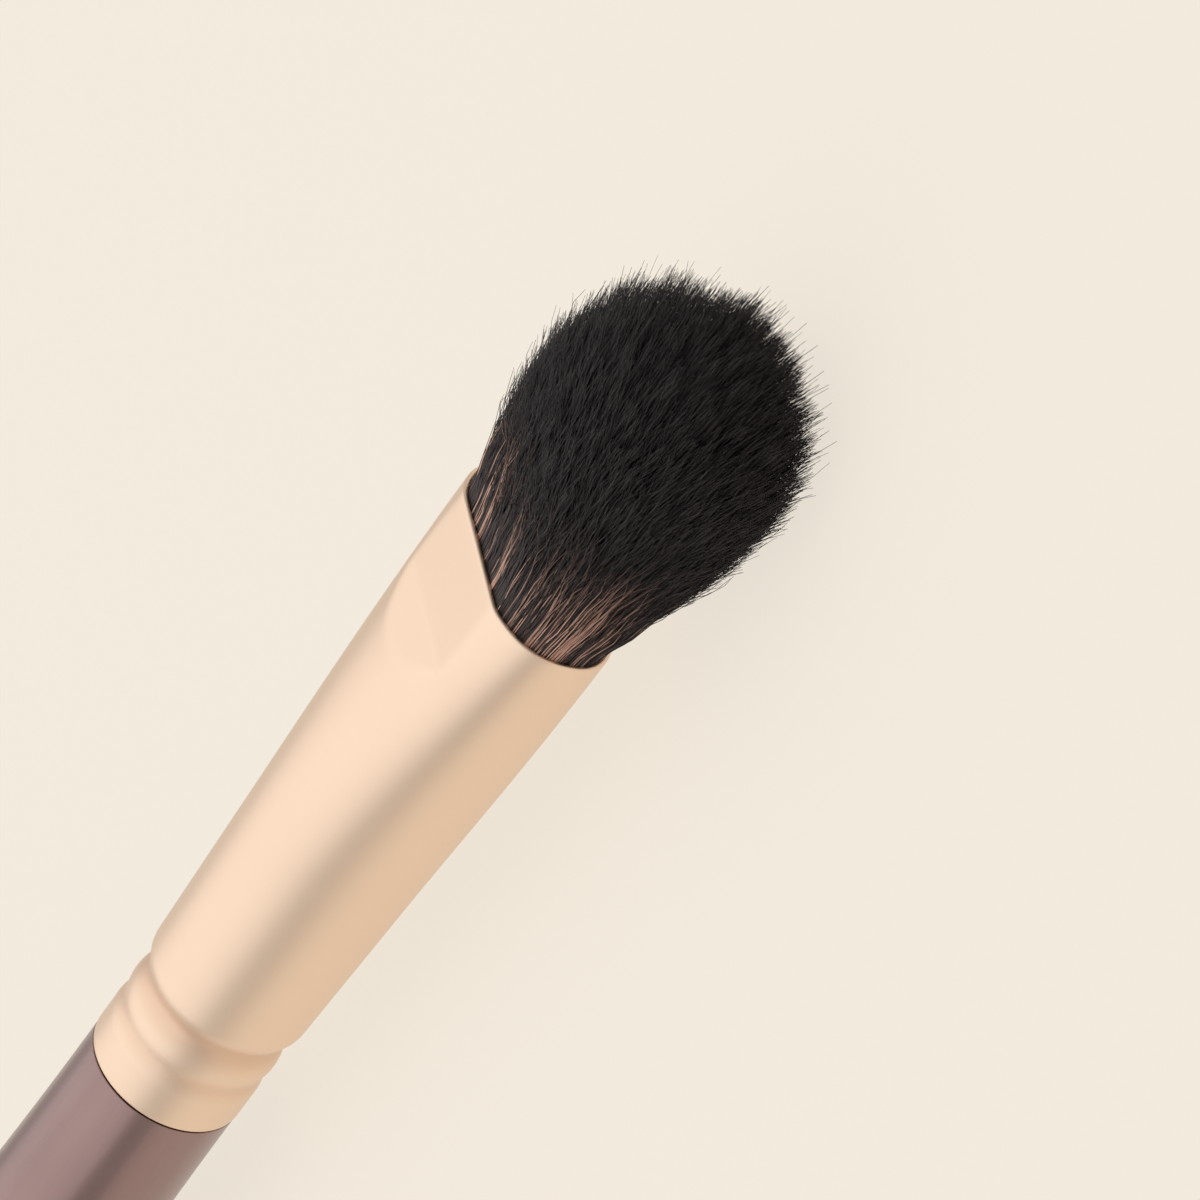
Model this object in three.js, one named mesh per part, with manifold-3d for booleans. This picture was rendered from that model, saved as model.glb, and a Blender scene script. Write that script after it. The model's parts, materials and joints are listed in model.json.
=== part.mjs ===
// A concealer brush lying on its flat side: a turned handle, a pressed metal ferrule and a domed head of hair.
// Millimetres, +Z up. The brush points along +X, and lies on its handle and its hair on the table at Z = 0.

import * as THREE from 'three';
import { mergeVertices } from 'three/addons/utils/BufferGeometryUtils.js';
import Module from 'manifold-3d';

const wasm = await Module();
wasm.setup();

// Lengths along the axis
const HANDLE_LENGTH = 120;
const FERRULE_LENGTH = 33.9;
const HAIR_LENGTH = 16;

// Handle
const NECK_RADIUS = 3.72;
const BELLY_RADIUS = 5;
const BELLY_AT = 72;
const TAIL_RADIUS = 2.75;
const TAIL_POWER = 1.7;
const BUTT_FLAT_RADIUS = 1.7;
const BUTT_ROUNDING = 1.05;
const TENON_RADIUS = 2.85;
const TENON_LENGTH = 13.5;
const TENON_CHAMFER = 0.6;
const BUTT_STEPS = 3;
const HANDLE_STEPS = 9;
const ROUND_SIDES = 28;

// Ferrule: distances are measured from its back end
const WALL = 0.4;
const COLLAR_RADIUS = 3.75;
const CONE_START = 6.4;
const CONE_BACK_RADIUS = 3.94;
const CONE_FRONT_RADIUS = 4.76;
const MOUTH_HALF_WIDTH = 6.03;
const MOUTH_HALF_HEIGHT = 2.99;
const MOUTH_SQUARENESS = 2.4;
const PRESSED_LENGTH = 12.5;
const PRESS_STEPS = 8;
const COLLAR_STEPS = 14;
const LIP = 0.12;
const CRIMPS = [
	{ at: 2.8, depth: 0.2, reach: 0.7 },
	{ at: 5.0, depth: 0.34, reach: 1.0 },
];
const FERRULE_SIDES = 36;

// Pieces sealed inside the ferrule
const CLEARANCE = 0.08;
const GLUE_START = 0.6;
const RESIN_START = TENON_LENGTH + 0.3;
const RESIN_END = 26.5;
const ROOT_START = 27;
const BINDING_START = 27.4;
const BINDING_LENGTH = 2;
const BINDING_THICKNESS = 0.35;

// Hair: heights are measured from the mouth of the ferrule
const LAYERS = ['hair_bottom_layer', 'hair_lower_layer', 'hair_upper_layer', 'hair_top_layer'];
const ROWS_PER_LAYER = 3;
const LAYER_GAP = 0.16;
const ROW_STEP = 0.34;
const STRAND_STEP = 0.33;
const STRAND_ROOT_RADIUS = 0.12;
const ROOT_MARGIN = 0.1;
const STRAND_WIDTH = 0.17;
const STRAND_HEIGHT = 0.3;
const ROW_ZIGZAG = 0.18;
const HEAD_HALF_WIDTH = 6.55;
const HEAD_HALF_HEIGHT = 5.55;
const HEAD_WIDEST_AT = 8.9;
const HEAD_LEAN = -0.105;
const LOWER_RING_AT = 4.2;
const UPPER_RING_SHARE = 0.45;
const ROOT_RING_AT = 0.12;
const STRAND_EMBEDDED = 0.6;
const SHORTEST_TIP = 0.15;
const DOME_POWER = 0.6;
const TIP_DRAW_IN = 0.1;
const TIP_UNEVENNESS = 0.5;

const LACQUER = { color: 0x8f7672, roughness: 0.38, metalness: 0 };
const ROSE_METAL = { color: 0xe9cbb0, roughness: 0.24, metalness: 1 };
const GLUE = { color: 0xd9c9a4, roughness: 0.45, metalness: 0 };
const RESIN = { color: 0xb99a63, roughness: 0.3, metalness: 0 };
const THREAD = { color: 0xe4ddd0, roughness: 0.8, metalness: 0 };
const BLACK_HAIR = { color: 0x262324, roughness: 0.55, metalness: 0 };

// A solid of revolution about X from points [distance along the axis, radius].
function turned(points, sides) {
	const profile = points.map(([along, radius]) => new THREE.Vector2(radius, along));
	return new THREE.LatheGeometry(profile, sides).rotateZ(-Math.PI / 2).rotateX(Math.PI / 2);
}

function smooth(t) {
	const x = Math.min(Math.max(t, 0), 1);
	return x * x * (3 - 2 * x);
}

// The handle swells from the neck to the belly and tapers to a small flat at the butt.
function handleRadius(along) {
	if (along > BELLY_AT) {
		const rise = smooth((HANDLE_LENGTH - along) / (HANDLE_LENGTH - BELLY_AT));
		return NECK_RADIUS + (BELLY_RADIUS - NECK_RADIUS) * rise;
	}
	return BELLY_RADIUS - (BELLY_RADIUS - TAIL_RADIUS) * (1 - along / BELLY_AT) ** TAIL_POWER;
}

// How far the crimps press the tube inwards at a distance from its back end.
function crimpDepth(along) {
	return CRIMPS.reduce((sum, crimp) => {
		const offset = Math.min(Math.abs(along - crimp.at) / crimp.reach, 1);
		return sum + crimp.depth * 0.5 * (1 + Math.cos(Math.PI * offset));
	}, 0);
}

// Radius of the ferrule before it is pressed: a straight collar, then a cone that opens to the mouth.
function ferruleRadius(along) {
	if (along < CONE_START) {
		const shoulder = smooth((along - CRIMPS[1].at) / (CONE_START - CRIMPS[1].at));
		return COLLAR_RADIUS + (CONE_BACK_RADIUS - COLLAR_RADIUS) * shoulder - crimpDepth(along);
	}
	const opening = (along - CONE_START) / (FERRULE_LENGTH - CONE_START);
	return CONE_BACK_RADIUS + (CONE_FRONT_RADIUS - CONE_BACK_RADIUS) * opening;
}

// Presses a round tube to a flat oval towards the mouth, keeping each vertex's depth under the outer skin.
function pressed(geometry) {
	const position = geometry.attributes.position;
	const point = new THREE.Vector3();
	for (let i = 0; i < position.count; i++) {
		point.fromBufferAttribute(position, i);
		const press = smooth((point.x - FERRULE_LENGTH + PRESSED_LENGTH) / PRESSED_LENGTH);
		const radius = Math.hypot(point.y, point.z);
		if (press === 0 || radius < 1e-6) continue;
		const inset = ferruleRadius(Math.min(point.x, FERRULE_LENGTH)) - radius;
		const power = 2 / (2 + (MOUTH_SQUARENESS - 2) * press);
		const across = point.y / radius;
		const up = point.z / radius;
		const halfWidth = radius + (MOUTH_HALF_WIDTH - inset - radius) * press;
		const halfHeight = radius + (MOUTH_HALF_HEIGHT - inset - radius) * press;
		position.setY(i, halfWidth * Math.sign(across) * Math.abs(across) ** power);
		position.setZ(i, halfHeight * Math.sign(up) * Math.abs(up) ** power);
	}
	return geometry;
}

// The edges and the middle of each crimp, where the pieces inside the collar bend.
const crimpStops = CRIMPS.flatMap(({ at, reach }) => [at - reach, at, at + reach]);

function evenStops(from, to, steps) {
	return Array.from({ length: steps + 1 }, (_, i) => from + (to - from) * i / steps);
}

// Profile points of the ferrule, set a depth under its outer skin.
function underSkin(stops, inset) {
	return stops.map((along) => [along, ferruleRadius(along) - inset]);
}

// The crimps bite into the tenon.
function tenonSkin(stops, clearance) {
	return stops.map((along) => [along, TENON_RADIUS - crimpDepth(along) + clearance]);
}

function handleGeometry() {
	const points = [[0, 0], [0, BUTT_FLAT_RADIUS]];
	for (let i = 1; i <= BUTT_STEPS; i++) {
		const angle = Math.PI / 2 * i / BUTT_STEPS;
		const along = BUTT_ROUNDING * (1 - Math.cos(angle));
		points.push([along, BUTT_FLAT_RADIUS + (handleRadius(along) - BUTT_FLAT_RADIUS) * Math.sin(angle)]);
	}
	const outline = [
		...evenStops(BUTT_ROUNDING, BELLY_AT, HANDLE_STEPS).slice(1),
		...evenStops(BELLY_AT, HANDLE_LENGTH, HANDLE_STEPS).slice(1),
	];
	points.push(...outline.map((along) => [along, handleRadius(along)]));
	const tenon = [
		...tenonSkin([0, ...crimpStops, TENON_LENGTH - TENON_CHAMFER], 0),
		[TENON_LENGTH, TENON_RADIUS - TENON_CHAMFER],
		[TENON_LENGTH, 0],
	];
	points.push(...tenon.map(([along, radius]) => [HANDLE_LENGTH + along, radius]));
	return turned(points, ROUND_SIDES);
}

// The tube's outer skin from back to mouth, then its inner skin back again, closed on itself.
function ferruleGeometry() {
	const pressStart = FERRULE_LENGTH - PRESSED_LENGTH;
	const outer = [
		[CLEARANCE, COLLAR_RADIUS - LIP],
		...underSkin(evenStops(CLEARANCE + LIP, CONE_START, COLLAR_STEPS), 0),
		...underSkin(evenStops(pressStart, FERRULE_LENGTH - LIP, PRESS_STEPS), 0),
		[FERRULE_LENGTH, ferruleRadius(FERRULE_LENGTH) - LIP],
	];
	const inner = [
		...underSkin([CLEARANCE, ...crimpStops, CONE_START], WALL),
		...underSkin(evenStops(pressStart, FERRULE_LENGTH, PRESS_STEPS), WALL),
	].reverse();
	return pressed(turned([...outer, ...inner, outer[0]], FERRULE_SIDES));
}

// Adhesive fills the space between the tenon and the tube.
function tenonGlueGeometry() {
	const stops = [GLUE_START, ...crimpStops, CONE_START, TENON_LENGTH - TENON_CHAMFER];
	const outer = underSkin(stops, WALL + CLEARANCE);
	const inner = tenonSkin(stops, CLEARANCE).reverse();
	return turned([...outer, ...inner, outer[0]], ROUND_SIDES);
}

function rootResinGeometry() {
	const skin = underSkin(evenStops(RESIN_START, RESIN_END, PRESS_STEPS), WALL + CLEARANCE);
	return pressed(turned([[RESIN_START, 0], ...skin, [RESIN_END, 0]], FERRULE_SIDES));
}

// Thread wound round the roots, lying against the inside of the tube.
function knotBindingGeometry() {
	const stops = evenStops(BINDING_START, BINDING_START + BINDING_LENGTH, 2);
	const outer = underSkin(stops, WALL + CLEARANCE);
	const inner = underSkin(stops, WALL + CLEARANCE + BINDING_THICKNESS).reverse();
	return pressed(turned([...outer, ...inner, outer[0]], FERRULE_SIDES));
}

// The whole bundle inside the ferrule, with a waist where the thread ties it.
function packedRootsGeometry() {
	const waist = WALL + 2 * CLEARANCE + BINDING_THICKNESS;
	const waistEnd = BINDING_START + BINDING_LENGTH + CLEARANCE;
	const skin = [
		...underSkin(evenStops(ROOT_START, waistEnd, 2), waist),
		...underSkin(evenStops(waistEnd + BINDING_THICKNESS, FERRULE_LENGTH, 3), WALL + CLEARANCE),
	];
	return pressed(turned([[ROOT_START, 0], ...skin, [FERRULE_LENGTH, 0]], FERRULE_SIDES));
}

function toSolid(geometry) {
	const bare = geometry.clone();
	bare.deleteAttribute('normal');
	bare.deleteAttribute('uv');
	const merged = mergeVertices(bare, 1e-5);
	const vertProperties = new Float32Array(merged.attributes.position.array);
	const triVerts = new Uint32Array(merged.index.array);
	return new wasm.Manifold(new wasm.Mesh({ numProp: 3, vertProperties, triVerts }));
}

function toGeometry(solid) {
	const { vertProperties, triVerts } = solid.getMesh();
	const geometry = new THREE.BufferGeometry();
	geometry.setAttribute('position', new THREE.BufferAttribute(vertProperties, 3));
	geometry.setIndex(new THREE.BufferAttribute(triVerts, 1));
	geometry.computeVertexNormals();
	return geometry;
}

// Uneven numbers between -1 and 1 that come out the same every time.
function scatter(seed) {
	const value = Math.sin(seed * 12.9898) * 43758.5453;
	return 2 * (value - Math.floor(value)) - 1;
}

// One three-sided strand through rings of { centre, halfWidth, halfHeight }, closed to a point at both ends.
// One of its edges faces up, or down where facing is -1.
function strandGeometry(start, rings, tip, facing) {
	const sides = 3;
	const positions = [];
	const index = [];
	for (const { centre, halfWidth, halfHeight } of rings) {
		for (let i = 0; i < sides; i++) {
			const angle = 2 * Math.PI * i / sides + facing * Math.PI / 2;
			positions.push(centre.x, centre.y + halfWidth * Math.cos(angle), centre.z + halfHeight * Math.sin(angle));
		}
	}
	const startIndex = rings.length * sides;
	const tipIndex = startIndex + 1;
	positions.push(...start.toArray(), ...tip.toArray());
	for (let i = 0; i < sides; i++) {
		const next = (i + 1) % sides;
		index.push(next, i, startIndex);
		for (let ring = 1; ring < rings.length; ring++) {
			const a = (ring - 1) * sides + i;
			const b = (ring - 1) * sides + next;
			index.push(a, b, b + sides, a, b + sides, a + sides);
		}
		const last = (rings.length - 1) * sides;
		index.push(last + i, last + next, tipIndex);
	}
	const geometry = new THREE.BufferGeometry();
	geometry.setAttribute('position', new THREE.Float32BufferAttribute(positions, 3));
	geometry.setIndex(index);
	return geometry;
}

const rootInset = WALL + CLEARANCE + STRAND_ROOT_RADIUS + ROOT_MARGIN;
const rootHalfWidth = MOUTH_HALF_WIDTH - rootInset;
const rootHalfHeight = MOUTH_HALF_HEIGHT - rootInset;
const layerStep = 2 * (MOUTH_HALF_HEIGHT - WALL - CLEARANCE) / LAYERS.length;
const rowCount = LAYERS.length * ROWS_PER_LAYER;
const bellyHalfWidth = HEAD_HALF_WIDTH - STRAND_WIDTH;
const bellyHalfHeight = HEAD_HALF_HEIGHT - STRAND_HEIGHT - ROW_ZIGZAG;

// The middle of a strand at a height above the mouth, from its places across the mouth and the widest section.
// The bundle opens to its widest, draws in a little above it and leans towards the table.
function strandCentre(height, root, belly) {
	const free = Math.max(height, 0);
	const opening = Math.sin(Math.PI / 2 * Math.min(free / HEAD_WIDEST_AT, 1));
	const above = Math.max(height - HEAD_WIDEST_AT, 0) / (HAIR_LENGTH - HEAD_WIDEST_AT);
	const place = root.clone().lerp(belly, opening).multiplyScalar(1 - TIP_DRAW_IN * above ** 2);
	return new THREE.Vector3(FERRULE_LENGTH + height, place.x, place.y + HEAD_LEAN * free);
}

// A strand ends on the dome: the nearer the middle of the bundle, the higher.
function strand(root, belly, seed) {
	const spread = Math.hypot(belly.x / HEAD_HALF_WIDTH, belly.y / HEAD_HALF_HEIGHT);
	const dome = SHORTEST_TIP + (1 - SHORTEST_TIP) * Math.max(1 - spread ** 2, 0) ** DOME_POWER;
	const uneven = TIP_UNEVENNESS * (scatter(seed) - 1) / 2;
	const end = HEAD_WIDEST_AT + (HAIR_LENGTH - HEAD_WIDEST_AT) * dome + uneven;
	const upperRing = HEAD_WIDEST_AT + UPPER_RING_SHARE * (end - HEAD_WIDEST_AT);
	const rings = [
		[ROOT_RING_AT, STRAND_ROOT_RADIUS, STRAND_ROOT_RADIUS],
		[LOWER_RING_AT, STRAND_WIDTH, STRAND_HEIGHT],
		[upperRing, STRAND_WIDTH, STRAND_HEIGHT],
	].map(([height, halfWidth, halfHeight]) => (
		{ centre: strandCentre(height, root, belly), halfWidth, halfHeight }
	));
	const start = strandCentre(-STRAND_EMBEDDED, root, belly);
	return strandGeometry(start, rings, strandCentre(end, root, belly), Math.sign(belly.y));
}

// One layer of the bundle: a slice of the packed roots with rows of strands standing on it.
function hairLayerSolid(layer, roots) {
	const middle = layerStep * (layer - (LAYERS.length - 1) / 2);
	const slab = new THREE.BoxGeometry(FERRULE_LENGTH, 2 * FERRULE_LENGTH, layerStep - LAYER_GAP);
	slab.translate(FERRULE_LENGTH, 0, middle);
	let solid = roots.intersect(toSolid(slab));
	for (let row = 0; row < ROWS_PER_LAYER; row++) {
		const up = middle + ROW_STEP * (row - (ROWS_PER_LAYER - 1) / 2);
		const share = Math.abs(up) / rootHalfHeight;
		const reach = rootHalfWidth * (1 - share ** MOUTH_SQUARENESS) ** (1 / MOUTH_SQUARENESS);
		const gaps = Math.floor(2 * reach / STRAND_STEP);
		const rowNumber = ROWS_PER_LAYER * layer + row;
		const bellyUp = bellyHalfHeight * (2 * rowNumber / (rowCount - 1) - 1);
		for (let i = 0; i <= gaps; i++) {
			const root = new THREE.Vector2(reach * (2 * i / gaps - 1), up);
			const zigzag = i % 2 === 0 ? ROW_ZIGZAG : -ROW_ZIGZAG;
			const belly = new THREE.Vector2(root.x * bellyHalfWidth / rootHalfWidth, bellyUp + zigzag);
			solid = solid.add(toSolid(strand(root, belly, 100 * rowNumber + i)));
		}
	}
	return solid;
}

function part(name, geometry, look, start) {
	const mesh = new THREE.Mesh(geometry, new THREE.MeshStandardMaterial(look));
	mesh.name = name;
	mesh.position.x = start;
	return mesh;
}

const brush = new THREE.Group();
brush.add(
	part('handle', handleGeometry(), LACQUER, 0),
	part('ferrule', ferruleGeometry(), ROSE_METAL, HANDLE_LENGTH),
	part('tenon_glue', tenonGlueGeometry(), GLUE, HANDLE_LENGTH),
	part('root_resin', rootResinGeometry(), RESIN, HANDLE_LENGTH),
	part('knot_binding', knotBindingGeometry(), THREAD, HANDLE_LENGTH),
);
const packedRoots = toSolid(packedRootsGeometry());
LAYERS.forEach((name, layer) => {
	brush.add(part(name, toGeometry(hairLayerSolid(layer, packedRoots)), BLACK_HAIR, HANDLE_LENGTH));
});

// The hair stands lower below the axis than the handle does, so the brush lies at a small angle.
const hairDrop = HEAD_HALF_HEIGHT - HEAD_LEAN * HEAD_WIDEST_AT;
const hairFromBelly = HANDLE_LENGTH + FERRULE_LENGTH + HEAD_WIDEST_AT - BELLY_AT;
brush.rotation.y = -Math.atan2(hairDrop - BELLY_RADIUS, hairFromBelly);
const box = new THREE.Box3().setFromObject(brush, true);
const middle = box.getCenter(new THREE.Vector3());
brush.position.set(-middle.x, -middle.y, -box.min.z);

export default brush;
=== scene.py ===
"""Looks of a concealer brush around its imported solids: a lacquered handle, a pressed ferrule and soft hair.

Brush axes: X runs from the butt to the tip of the hair, Y across the ferrule's wide side and Z across its
thin side.
"""

import json
import math

import bpy
from mathutils import Matrix, Vector


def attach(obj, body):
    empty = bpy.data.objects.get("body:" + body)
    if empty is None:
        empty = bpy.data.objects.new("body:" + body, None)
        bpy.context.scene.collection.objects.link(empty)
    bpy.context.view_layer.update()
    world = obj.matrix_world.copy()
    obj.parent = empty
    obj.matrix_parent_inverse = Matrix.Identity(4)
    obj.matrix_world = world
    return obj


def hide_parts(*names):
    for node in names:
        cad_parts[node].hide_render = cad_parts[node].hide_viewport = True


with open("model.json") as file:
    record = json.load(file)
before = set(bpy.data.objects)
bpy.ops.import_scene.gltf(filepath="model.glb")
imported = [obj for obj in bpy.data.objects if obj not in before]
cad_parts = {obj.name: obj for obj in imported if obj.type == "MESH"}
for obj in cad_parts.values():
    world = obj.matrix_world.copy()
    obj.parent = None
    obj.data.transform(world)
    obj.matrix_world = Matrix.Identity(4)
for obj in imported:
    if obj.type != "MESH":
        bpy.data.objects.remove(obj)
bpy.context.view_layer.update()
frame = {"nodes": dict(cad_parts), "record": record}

bl_info = {
    "name": "Concealer Brush",
    "version": (1, 0, 0),
    "blender": (4, 5, 0),
    "location": "View3D > Sidebar > Brush",
    "description": "Dresses a concealer brush: lacquered handle, pressed ferrule and a head of soft hair",
    "category": "Object",
}

BODY = "root"
MM = 0.001

# Points closer than this are welded where a rolled sheet closes
WELD = 0.002 * MM

# Sides round the handle, and steps over its butt, the butt's edge, its body and its tenon
HANDLE_SIDES = 96
BUTT_STEPS = 3
EDGE_STEPS = 10
BODY_STEPS = 90
TENON_STEPS = 50

# Sides round the ferrule, and steps along its outside, over its lips and along its inside
FERRULE_SIDES = 160
OUTSIDE_STEPS = 150
LIP_STEPS = 10
INSIDE_STEPS = 70

# Crimps that hold the ferrule on the handle: distance from its back end, depth and reach to either side
CRIMPS = (
    (2.8 * MM, 0.13 * MM, 0.8 * MM),
    (5.0 * MM, 0.24 * MM, 1.2 * MM),
)

# Power of a plain ellipse, which the squarer ovals of the mouth and the hair pass
ELLIPSE = 2.0

# Faces of one slice of the bed of roots, and the most roots that are tried on a unit of its area
BED_COLUMNS = 48
BED_ROWS = 12
MOST_ROOTS = 40000.0

# Height in the unit disc of roots that cuts each half into two slices of the same area
EVEN_CUT = 0.404

# Hair pieces by layer, from the table upwards, each a slice of that disc
HAIR_LAYERS = (
    ("hair_bottom", "hair_bottom_layer", -1.0, -EVEN_CUT),
    ("hair_lower", "hair_lower_layer", -EVEN_CUT, 0.0),
    ("hair_upper", "hair_upper_layer", 0.0, EVEN_CUT),
    ("hair_top", "hair_top_layer", EVEN_CUT, 1.0),
)

# Random numbers that each hair draws, and the step between their seeds
DRAWS = ("stray", "gather", "length", "flare", "tone", "pale", "girth")
DRAW_STEP = 100.0

# Draws at which a hair begins to be a stray one and is wholly one, and how much more a stray one flares
STRAY_FROM = 0.985
STRAY_FULL = 0.99
STRAY_FLARE = 0.3

# How often a lock's tone and turn are folded over to give it one more number
TONE_FOLDS = 7.0
TURN_FOLDS = 5.0

# Noise that bends the hairs: its middle, and how far apart hairs, a hair's ends and the seeds lie in it
NOISE_MIDDLE = 0.5
DRIFT_APART = 3.71
DRIFT_ALONG = 2.8
DRIFT_SEED = 1.7

# Powers that keep the short hairs few, the flare at the tips and the taper towards them
LENGTH_POWER = 2.0
FLARE_POWER = 4.0
TAPER_POWER = 3.0

# Sides of one hair's section
STRAND_SIDES = 3

# Camera that sees the brush as the photograph does: its place, its right and its back
CAMERA_PLACE = (0.23945, -0.19911, 0.15241)
CAMERA_RIGHT = (0.5050, -0.1967, -0.8404)
CAMERA_BACK = (0.5670, -0.6585, 0.4948)

# Width of the camera's sensor in millimetres, and the nearest that it sees in metres
SENSOR_WIDTH = 36.0
NEAREST_SEEN = 0.01

# Where the panel hangs over the floor
PANEL_PLACE = (-0.45, 0.175)


def size(name, description, default):
    """A length that a user may change, in metres."""
    return bpy.props.FloatProperty(
        name=name,
        description=description,
        default=default,
        min=0.0,
        precision=5,
        subtype="DISTANCE",
        unit="LENGTH",
    )


def share(name, description, default, high=1.0):
    """A plain ratio that a user may change."""
    return bpy.props.FloatProperty(
        name=name, description=description, default=default, min=0.0, max=high, subtype="FACTOR"
    )


def power(name, description, default):
    """A power that a user may change, where 1 gives an even rise."""
    return bpy.props.FloatProperty(name=name, description=description, default=default, min=0.1, max=6.0)


def colour(name, description, default):
    """A linear colour that a user may change."""
    return bpy.props.FloatVectorProperty(
        name=name, description=description, default=default, size=3, min=0.0, max=1.0, subtype="COLOR"
    )


def count(name, description, default):
    """A whole number that a user may change."""
    return bpy.props.IntProperty(name=name, description=description, default=default, min=1)


class HandleSettings(bpy.types.PropertyGroup):
    """Sizes and finish of the turned handle."""

    length: size("Length", "From the butt to the ferrule", 120 * MM)
    neck_radius: size("Neck radius", "Radius where the handle meets the ferrule", 3.72 * MM)
    belly_radius: size("Belly radius", "Largest radius", 5 * MM)
    belly_at: size("Belly at", "Distance of the largest radius from the butt", 72 * MM)
    tail_radius: size("Tail radius", "Radius just before the butt", 2.75 * MM)
    tail_power: power("Tail power", "How late the tail narrows", 1.7)
    butt_flat_radius: size("Butt flat radius", "Radius of the flat at the butt", 1.7 * MM)
    butt_rounding: size("Butt rounding", "Length of the rounded edge at the butt", 1.05 * MM)
    shoulder_edge: size("Shoulder edge", "Width of the crisp edge between neck and tenon", 0.06 * MM)
    tenon_radius: size("Tenon radius", "Radius of the end inside the ferrule", 2.85 * MM)
    tenon_length: size("Tenon length", "Length of the end inside the ferrule", 13.5 * MM)
    tenon_chamfer: size("Tenon chamfer", "Chamfer on the end of the tenon", 0.6 * MM)
    rubbed_length: size("Rubbed length", "How far from the butt the lacquer is rubbed", 1.6 * MM)
    rubbed_end: size("Rubbed end", "How far from the butt the lacquer is rubbed most", 0.2 * MM)
    roughness: share("Roughness", "Least roughness of the lacquer", 0.29)
    lacquer: colour("Lacquer", "Main colour of the lacquer", (0.352, 0.231, 0.219))
    lacquer_deep: colour("Deep lacquer", "Colour where the grain draws it in", (0.320, 0.210, 0.199))
    worn_wood: colour("Worn edge", "Colour of the rubbed edge at the butt", (0.420, 0.300, 0.270))


class FerruleSettings(bpy.types.PropertyGroup):
    """Sizes and finish of the pressed metal tube."""

    length: size("Length", "From the handle to the mouth", 33.9 * MM)
    wall: size("Wall", "Thickness of the metal", 0.28 * MM)
    clearance: size("Clearance", "Gap between the back edge and the handle", 0.08 * MM)
    collar_radius: size("Collar radius", "Radius at the back end", 3.75 * MM)
    cone_start: size("Cone start", "Where the straight collar ends", 6.4 * MM)
    cone_back_radius: size("Cone back radius", "Radius behind the cone", 3.94 * MM)
    cone_front_radius: size("Cone front radius", "Radius at the mouth if it were unpressed", 4.76 * MM)
    mouth_half_width: size("Mouth half width", "Half of the mouth's wide side", 5.86 * MM)
    mouth_half_height: size("Mouth half height", "Half of the mouth's thin side", 2.99 * MM)
    crown_half_height: size("Crown half height", "Half height of the oval without its flats", 3.38 * MM)
    squareness: power("Squareness", "Power of the oval at the mouth, 2 for an ellipse", 2.4)
    pressed_length: size("Pressed length", "Length over which the round tube becomes an oval", 18 * MM)
    press_power: power("Press power", "How late the tube becomes an oval", 1.5)
    flat_length: size("Flat length", "Length of the two flats at the mouth", 4.2 * MM)
    flat_slope: share("Flat slope", "Rise of a flat away from the mouth", 0.045)
    ledge_slope: share("Ledge slope", "Rise of the ledge behind a flat", 0.36)
    ledge_softness: size("Ledge softness", "Rounding where a flat leaves the oval", 0.18 * MM)
    roughness: share("Roughness", "Least roughness of the plating", 0.42)
    metal: colour("Metal", "Colour of the rose plating", (0.930, 0.725, 0.560))
    # Painted shade: the plating is painted darker in the crimps to stand in for their dark reflection
    groove: colour("Groove", "Colour of the plating in the crimps", (0.780, 0.540, 0.390))


class InnerSettings(bpy.types.PropertyGroup):
    """Colours of the pieces that are sealed inside the ferrule."""

    adhesive: colour("Adhesive", "Colour of the glue round the tenon", (0.69, 0.58, 0.37))
    resin: colour("Resin", "Colour of the resin behind the hair", (0.49, 0.32, 0.12))
    thread: colour("Thread", "Colour of the binding", (0.76, 0.70, 0.61))
    # Painted shade: the dark colour between the turns of the binding
    thread_gap: colour("Thread gap", "Colour between the turns of the binding", (0.42, 0.36, 0.28))


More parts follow.
